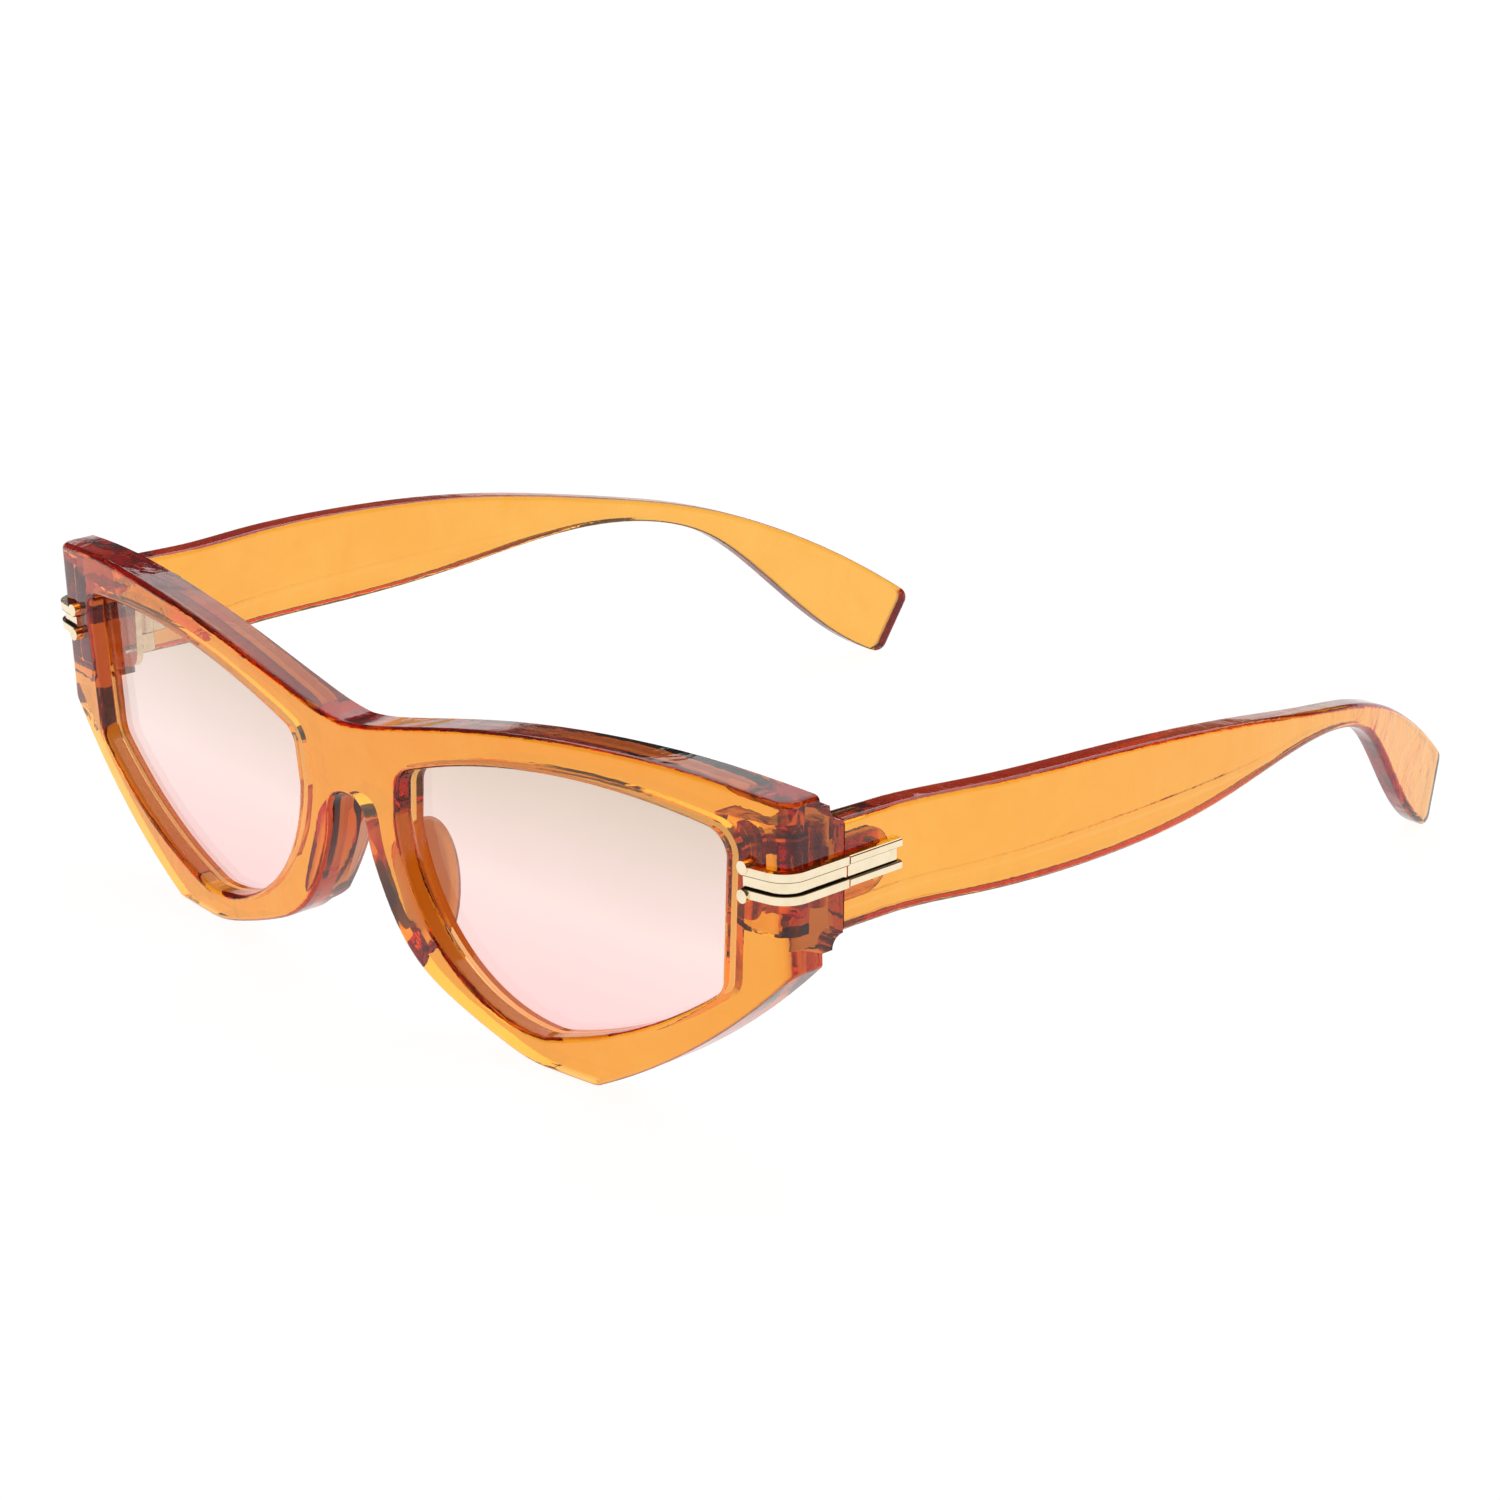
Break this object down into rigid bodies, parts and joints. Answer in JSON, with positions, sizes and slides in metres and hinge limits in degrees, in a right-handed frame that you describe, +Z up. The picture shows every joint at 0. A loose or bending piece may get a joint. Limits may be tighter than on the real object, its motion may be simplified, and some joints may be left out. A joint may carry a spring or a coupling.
{
  "type": "cat eye sunglasses",
  "caption": "Cat eye sunglasses with a translucent amber frame, gradient lenses, folding temples and ribbed gold trims at the end pieces.",
  "frame": {"origin": "middle of the bounding box's underside, on the surface that the open glasses stand on", "axes": "+X to the wearer's left, -Y the way the wearer looks, +Z up"},
  "size_m": [0.1506, 0.1548, 0.0446],
  "materials": {
    "amber_plastic": "clear moulded amber plastic, polished all over",
    "tinted_lens": "clear lens with a tint that runs from warm grey at the top to pink at the bottom",
    "gold_trim": "bright pale gold plating",
    "hinge_metal": "satin gold plated hinge leaf",
    "screw_metal": "turned screw metal"
  },
  "bodies": {
    "front": {"front_frame": "amber_plastic", "lens_left": "tinted_lens", "front_trim_left": "gold_trim", "front_hinge_leaf_left": "hinge_metal", "front_leaf_screws_left": "screw_metal", "hinge_screw_left": "screw_metal", "lens_right": "tinted_lens", "front_trim_right": "gold_trim", "front_hinge_leaf_right": "hinge_metal", "front_leaf_screws_right": "screw_metal", "hinge_screw_right": "screw_metal"},
    "temple_left_body": {"temple_left": "amber_plastic", "temple_trim_left": "gold_trim", "temple_hinge_leaf_left": "hinge_metal", "temple_leaf_screws_left": "screw_metal"},
    "temple_right_body": {"temple_right": "amber_plastic", "temple_trim_right": "gold_trim", "temple_hinge_leaf_right": "hinge_metal", "temple_leaf_screws_right": "screw_metal"}
  },
  "joints": [
    {"name": "temple_left_fold", "type": "hinge", "parent": "front", "child": "temple_left_body", "pos_m": [0.065, -0.06068, 0.0327], "axis": [0, 0, 1], "range_deg": [0, 84]},
    {"name": "temple_right_fold", "type": "hinge", "parent": "front", "child": "temple_right_body", "pos_m": [-0.065, -0.06068, 0.0327], "axis": [0, 0, -1], "range_deg": [0, 68]}
  ]
}
